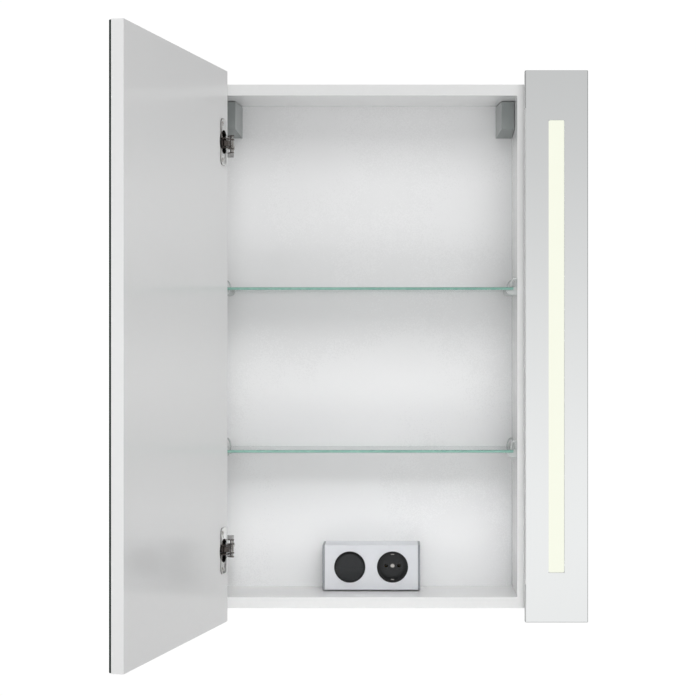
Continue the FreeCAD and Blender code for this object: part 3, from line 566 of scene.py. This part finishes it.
lit_opal = make_lit_opal()
anodised = finish(
    "anodised_channel",
    (0.72, 0.72, 0.74),
    0.34,
    relief=0.1,
    skin={"Drift": 0.08, "Patch Size": 80.0, "Gloss Spread": 0.12, "Grain Size": 1600.0},
    Metallic=1.0,
)
solder_mask = finish("solder_mask", (0.84, 0.84, 0.80), 0.3, relief=0.1)
phosphor = finish("phosphor", (0.90, 0.72, 0.16), 0.45, relief=0.2)
driver_case = finish("driver_case", (0.80, 0.80, 0.79), 0.5, relief=0.35)
eased("light_diffuser", 0.3 * mm, lit_opal)
eased("light_channel", 0.2 * mm, anodised)
dress("led_strip", solder_mask)
dress("led_chips", phosphor)
eased("led_driver", 0.8 * mm, driver_case)
soft_pad = finish("soft_pad", (0.70, 0.70, 0.69), 0.9, relief=0.8)
eased("front_brackets", 0.3 * mm, zinc)
eased("front_spacers", 0.5 * mm, soft_pad)


# ---- Glass shelves -----------------------------------------------------------------------------
# Clear 4 mm float glass. Light is caught between the faces and comes out green at the edges, which
# are ground flat with a narrow polished arris.
def make_clear_glass():
    material = bpy.data.materials.new("float_glass")
    material.use_nodes = True
    tree = material.node_tree
    shader = tree.nodes["Principled BSDF"]
    shader.inputs["Transmission Weight"].default_value = 1.0
    shader.inputs["IOR"].default_value = 1.52
    where = feed(tree, "TexCoord", {}).outputs["Object"]
    film = feed(tree, "TexNoise", {"Vector": where, "Scale": 11.0, "Detail": 6.0})
    haze = feed(
        tree,
        "MapRange",
        {"Value": film.outputs["Fac"], "From Min": 0.4, "From Max": 0.8, "To Min": 0.0, "To Max": 0.035},
    )
    tone = feed(tree, "ValToRGB", {"Fac": film.outputs["Fac"]})
    tone.color_ramp.elements[0].color = (0.955, 0.985, 0.975, 1)
    tone.color_ramp.elements[1].color = (0.97, 0.99, 0.985, 1)
    tree.links.new(haze.outputs["Result"], shader.inputs["Roughness"])
    tree.links.new(tone.outputs["Color"], shader.inputs["Base Color"])
    return material


float_glass = make_clear_glass()
green_edge = finish(
    "green_glass_edge",
    (0.13, 0.34, 0.27),
    0.18,
    relief=0.06,
    # The pale edge tone lightens the arris: a painted highlight.
    edge_tone=(0.55, 0.80, 0.72),
    edge_accent_amount=0.6,
    skin={"Drift": 0.35, "Patch Size": 26.0, "Gloss Spread": 0.15, "Grain Size": 900.0},
    Coat_Weight=0.5,
    Coat_Roughness=0.05,
)
for node in ("shelf_upper", "shelf_lower"):
    shelf = eased(node, 0.45 * mm, float_glass, green_edge)
    for face in shelf.data.polygons:
        face.material_index = 0 if abs(face.normal.z) > 0.5 else 1


# ---- Shelf supports ----------------------------------------------------------------------------
# Clear polycarbonate, moulded in one piece: a ledge under the glass and a sprung grip above it. A
# nickel-plated pin pushes each one into a hole in the wall.
def make_clear_plastic():
    """Clear moulding with faint flow streaks."""
    material = bpy.data.materials.new("clear_plastic")
    material.use_nodes = True
    tree = material.node_tree
    shader = tree.nodes["Principled BSDF"]
    shader.inputs["Transmission Weight"].default_value = 0.5
    shader.inputs["IOR"].default_value = 1.5
    streak = feed(tree, "TexNoise", {"Scale": 260.0, "Detail": 3.0})
    shade = feed(tree, "ValToRGB", {"Fac": streak.outputs["Fac"]})
    shade.color_ramp.elements[0].color = (0.88, 0.92, 0.91, 1)
    shade.color_ramp.elements[1].color = (0.96, 0.98, 0.97, 1)
    tree.links.new(shade.outputs["Color"], shader.inputs["Base Color"])
    smear = feed(tree, "MapRange", {"Value": streak.outputs["Fac"], "To Min": 0.03, "To Max": 0.16})
    tree.links.new(smear.outputs["Result"], shader.inputs["Roughness"])
    return material


clear_plastic = make_clear_plastic()
nickel = finish(
    "nickel_plate",
    (0.62, 0.60, 0.57),
    0.20,
    relief=0.05,
    skin={"Drift": 0.12, "Patch Size": 120.0, "Gloss Spread": 0.14, "Grain Size": 1500.0},
    Metallic=1.0,
)
# One support seen from the front: distance from the wall, and height over the glass's underside.
support_outline = [
    (0.0, -6.6), (8.6, -6.6), (11.2, -5.9), (13.2, -4.4), (14.4, -2.2), (14.4, 0.0),
    (4.9, 0.0), (4.9, 4.0), (3.2, 4.0), (2.0, 5.2), (1.9, 13.4), (2.5, 15.0), (3.9, 15.2),
    (5.3, 13.6), (6.7, 10.6), (7.5, 7.2), (7.8, 4.0), (9.4, 4.0), (9.2, 7.4), (8.3, 11.6),
    (6.7, 15.0), (4.9, 16.9), (3.0, 17.4), (0.9, 17.4), (0.0, 16.4),
]  # fmt: skip


def support_shapes(node, glass):
    """Every support of one shelf, at the places the CAD gives them."""
    low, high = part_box(node)
    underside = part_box(glass)[0][2]
    wide = 12 * mm
    shape = bmesh.new()
    for wall, inward in ((low[0], 1), (high[0], -1)):
        for front in (low[1], high[1] - wide):
            edge = [
                shape.verts.new((wall + inward * out * mm, front, underside + up * mm))
                for out, up in support_outline
            ]
            face = shape.faces.new(edge)
            swept = bmesh.ops.extrude_face_region(shape, geom=[face])["geom"]
            moved = [item for item in swept if isinstance(item, bmesh.types.BMVert)]
            bmesh.ops.translate(shape, verts=moved, vec=(0, wide, 0))
    bmesh.ops.recalc_face_normals(shape, faces=shape.faces)
    ease_edges(shape, 0.35 * mm, steps=2, sharper_than=50)
    return shape


for which in ("upper", "lower"):
    shape = support_shapes(f"shelf_supports_{which}", f"shelf_{which}")
    piece = shape_to_piece(f"shelf_supports_{which}_shown", shape, clear_plastic)
    settle_normals(piece)
    stand_for(piece, f"shelf_supports_{which}")
eased("shelf_support_pins", 0.3 * mm, nickel, steps=2)


# ---- Door --------------------------------------------------------------------------------------
# The same white board as the carcass, with 3 mm mirror glass glued over its whole face. The glass
# is ground to a narrow arris at the front and its edge is left bare.
eased("door_board", 0.6 * mm, white_melamine)
door_mirror = eased("door_mirror", 0.12 * mm, silver, ground_edge, steps=1)
door_mirror.modifiers.clear()
door_mirror.data.shade_flat()
broadest = max(door_mirror.data.polygons, key=lambda face: face.area * (face.normal.x < 0))
face_silver(door_mirror, Vector(broadest.normal), 0.9)


# ---- Screws ------------------------------------------------------------------------------------
# Pan-head steel screws, zinc- or nickel-plated, with a pressed cross in the head. The socket's
# centre screw has a single slot instead.
def loose_parts(node):
    """The separate solids of one node, each as an array of its corners."""
    shape = clean_copy(node)
    left = set(shape.verts)
    parts = []
    while left:
        todo = [left.pop()]
        found = []
        while todo:
            vert = todo.pop()
            found.append(tuple(vert.co))
            for edge in vert.link_edges:
                other = edge.other_vert(vert)
                if other in left:
                    left.discard(other)
                    todo.append(other)
        parts.append(np.array(found))
    shape.free()
    return sorted(parts, key=lambda part: tuple(part.mean(axis=0).round(5)))


def screw_measures(corners):
    """Where a screw's head is, which way it faces, and its radii and lengths."""
    middle = (corners.max(axis=0) + corners.min(axis=0)) / 2
    spread = np.linalg.svd(corners - corners.mean(axis=0), full_matrices=False)[2]
    best = None
    for axis in spread:
        along = (corners - middle) @ axis
        ends = [corners[along > along.max() - 1e-5], corners[along < along.min() + 1e-5]]
        centres = [end.mean(axis=0) for end in ends]
        radii = [np.linalg.norm(end - centre, axis=1) for end, centre in zip(ends, centres)]
        uneven = round(sum(radius.max() - np.median(radius) for radius in radii), 5)
        if best is None or (uneven, -np.ptp(along)) < best[0]:
            best = ((uneven, -np.ptp(along)), centres, [radius.max() for radius in radii])
    centres, radii = best[1], best[2]
    head = 0 if radii[0] > radii[1] else 1
    facing = centres[head] - centres[1 - head]
    whole = np.linalg.norm(facing)
    facing = facing / whole
    depth = (centres[head] - corners) @ facing
    radial = np.linalg.norm((corners - centres[head]) + np.outer(depth, facing), axis=1)
    tall = depth[radial > radii[head] * 0.97].max()
    return Vector(centres[head]), Vector(facing), radii[head], radii[1 - head], tall, whole


def add_screw(shape, top, facing, head, shank, tall, whole, slotted):
    """One screw, with its recess cut into the crown of its head."""
    turn = Matrix.Translation(top) @ facing.to_track_quat("Z", "Y").to_matrix().to_4x4()
    tip = min(1.2 * shank, whole - tall)
    profile = [
        (head * 0.74, 0.0),
        (head * 0.92, -0.16 * tall),
        (head, -0.5 * tall),
        (head, -tall),
        (shank, -tall),
        (shank, -whole + tip * 0.5),
        (shank * 0.55, -whole),
    ]
    sides = 28
    rings = []
    for radius, height in profile:
        ring = []
        for step in range(sides):
            around = 2 * math.pi * step / sides
            spot = Vector((radius * math.cos(around), radius * math.sin(around), height))
            ring.append(shape.verts.new(turn @ spot))
        rings.append(ring)
    for upper, lower in zip(rings, rings[1:]):
        for step in range(sides):
            nxt = (step + 1) % sides
            shape.faces.new((upper[step], lower[step], lower[nxt], upper[nxt]))
    shape.faces.new(rings[-1][::-1])
    half, reach = 0.11 * head, 0.58 * head
    if slotted:
        recess = [(-reach, -half), (reach, -half), (reach, half), (-reach, half)]
    else:
        quarter = [(reach, -half), (reach, half), (half, half)]
        recess = []
        for count in range(4):
            spin = Matrix.Rotation(math.pi / 2 * count, 2)
            recess += [tuple(spin @ Vector(corner)) for corner in quarter]
    sunk = -0.55 * tall
    mouth = [shape.verts.new(turn @ Vector((*corner, 0.0))) for corner in recess]
    floor_ring = [
        shape.verts.new(turn @ Vector((corner[0] * 0.8, corner[1] * 0.8, sunk))) for corner in recess
    ]
    count = len(recess)
    rim = [shape.edges.new((mouth[step], mouth[(step + 1) % count])) for step in range(count)]
    outer = [shape.edges.get((rings[0][step], rings[0][(step + 1) % sides])) for step in range(sides)]
    bmesh.ops.triangle_fill(shape, edges=rim + outer, use_beauty=True)
    for step in range(count):
        nxt = (step + 1) % count
        shape.faces.new((mouth[step], floor_ring[step], floor_ring[nxt], mouth[nxt]))
    shape.faces.new(floor_ring)


def sharpen(piece, angle):
    """Marks the edges that a smooth surface must not shade across."""
    piece.data.set_sharp_from_angle(angle=math.radians(angle))


def screws(node, material, slotted=False):
    """All the screws of one node, in its place."""
    shape = bmesh.new()
    for corners in loose_parts(node):
        top, facing, head, shank, tall, whole = screw_measures(corners)
        add_screw(shape, top, facing, head, shank, tall, whole, slotted)
    bmesh.ops.recalc_face_normals(shape, faces=shape.faces)
    piece = shape_to_piece(f"{node}_shown", shape, material)
    piece.data.shade_smooth()
    sharpen(piece, 30)
    stand_for(piece, node)


for node in ("hinge_plate_screws", "hinge_arm_screws", "hinge_cup_screws"):
    screws(node, nickel)
for node in ("hanger_screws", "bracket_screws"):
    screws(node, zinc)
screws("socket_screw", nickel, slotted=True)


# ---- Hinges ------------------------------------------------------------------------------------
# Concealed hinges in nickel-plated steel. A pressed cup is let into the door and two link plates
# join it to an arm, which is screwed down on a plate fixed to the side.
bright_nickel = finish(
    "bright_nickel",
    (0.93, 0.93, 0.92),
    0.12,
    relief=0.04,
    # A near-black edge tone, mixed in strongly: a painted dark outline round the cup's flange.
    edge_tone=(0.05, 0.045, 0.04),
    edge_accent_amount=1.6,
    skin={"Drift": 0.05, "Patch Size": 90.0, "Gloss Spread": 0.10, "Grain Size": 1500.0},
    Metallic=1.0,
)
oiled_steel = finish(
    "oiled_steel",
    (0.115, 0.10, 0.092),
    0.24,
    relief=0.06,
    edge_tone=(0.36, 0.34, 0.32),
    edge_accent_amount=0.9,
    skin={"Drift": 0.30, "Patch Size": 170.0, "Gloss Spread": 0.18, "Grain Size": 1500.0},
    Metallic=1.0,
)
hinge_finishes = {
    # The cup's dark steel is painted shade and a painted dark outline, on its rim and inside it.
    "cup": (bright_nickel, oiled_steel),
    "outer_link": (oiled_steel,),
    "inner_links": (oiled_steel,),
    "arm": (oiled_steel,),
    "plate": (nickel,),
}


def paint_cup_rim_shade(cup):
    """The flange's face is bright nickel, while its rolled rim and the inside of the cup take the dark
    steel: a painted dark outline round the flange and painted shade in the cup's hollow.
    """
    inner_face = [face for face in cup.data.polygons if face.normal.x > 0.5]
    facing = Vector(max(inner_face, key=lambda face: face.area).normal)
    outermost = max(face.center.dot(facing) for face in inner_face)
    for face in cup.data.polygons:
        flat = face.normal.dot(facing) > 0.97 and face.center.dot(facing) > outermost - 0.4 * mm
        face.material_index = 0 if flat else 1


for which in ("upper", "lower"):
    for part, materials in hinge_finishes.items():
        piece = eased(f"hinge_{part}_{which}", 0.25 * mm, *materials)
        if part == "cup":
            paint_cup_rim_shade(piece)
for node in ("hinge_arm_pins", "hinge_cup_pins"):
    eased(node, 0.25 * mm, nickel, steps=2)


# ---- Cabinet hangers ---------------------------------------------------------------------------
# A zinc-plated body in each upper back corner carries an adjustable hook that drops over a rail on
# the wall. A grey moulded cover snaps over the body.
grey_cover = finish(
    "grey_cover",
    (0.31, 0.335, 0.33),
    0.40,
    relief=0.25,
    skin={"Drift": 0.08, "Patch Size": 40.0, "Gloss Spread": 0.12, "Grain Size": 1300.0},
)
# A lighter copy of the cover's grey for its sloped sides: painted light, for the light the slopes catch
# from the white interior.
grey_slope_painted_light = finish(
    "grey_cover_slope_painted_light",
    (0.40, 0.425, 0.42),
    0.30,
    relief=0.12,
    skin={"Drift": 0.06, "Patch Size": 40.0, "Gloss Spread": 0.12, "Grain Size": 1300.0},
)
for side in ("left", "right"):
    cover = eased(f"hanger_cover_{side}", 0.5 * mm, grey_cover, grey_slope_painted_light)
    for face in cover.data.polygons:
        # Sloped side faces take the lighter grey: painted light.
        face.material_index = 1 if abs(face.normal.x) > 0.12 and face.normal.y < 0.5 else 0
    eased(f"hanger_body_{side}", 0.4 * mm, zinc)
    eased(f"hanger_hook_{side}", 0.4 * mm, zinc)


# ---- Power box ---------------------------------------------------------------------------------
# A silver anodised extrusion with a plastic cap pushed into each end. A round switch and a round
# socket are set into its face.
silver_shell = finish(
    "silver_shell",
    (0.84, 0.855, 0.885),
    0.34,
    relief=0.1,
    skin={"Drift": 0.05, "Patch Size": 60.0, "Gloss Spread": 0.1, "Grain Size": 1700.0},
    Metallic=0.7,
)
cap_grey = finish("cap_grey", (0.30, 0.31, 0.33), 0.4, relief=0.2)
black_gloss = finish(
    "black_gloss",
    (0.010, 0.0115, 0.013),
    0.24,
    relief=0.12,
    edge_tone=(0.05, 0.055, 0.06),
    edge_accent_amount=0.3,
    skin={"Drift": 0.06, "Patch Size": 90.0, "Gloss Spread": 0.05, "Grain Size": 1600.0},
)
ring_black = finish(
    "ring_black",
    (0.005, 0.005, 0.006),
    0.18,
    relief=0.05,
    skin={"Drift": 0.1, "Patch Size": 90.0, "Gloss Spread": 0.05, "Grain Size": 1600.0},
    Specular_IOR_Level=0.3,
)
brass = finish("brass", (0.70, 0.52, 0.22), 0.3, Metallic=1.0)
black_rubber = finish("black_rubber", (0.03, 0.03, 0.03), 0.7, relief=0.4)
eased("powerbox_housing", 0.5 * mm, silver_shell)
for side in ("left", "right"):
    eased(f"powerbox_end_{side}", 0.4 * mm, cap_grey)
eased("switch_ring", 0.5 * mm, ring_black)
eased("switch_rocker", 0.5 * mm, black_gloss)
dress("switch_mechanism", black_rubber)
well = eased("socket_well", 0.5 * mm, ring_black, black_gloss)
well_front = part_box("socket_well")[0][1]
rim_depth = 12 * mm
for face in well.data.polygons:
    face.material_index = 1 if face.center.y > well_front + rim_depth else 0
dress("socket_carrier", black_gloss)
dress("socket_contacts", brass)
eased("socket_earth_clips", 0.15 * mm, nickel)
eased("cable_grommet", 0.4 * mm, black_rubber)
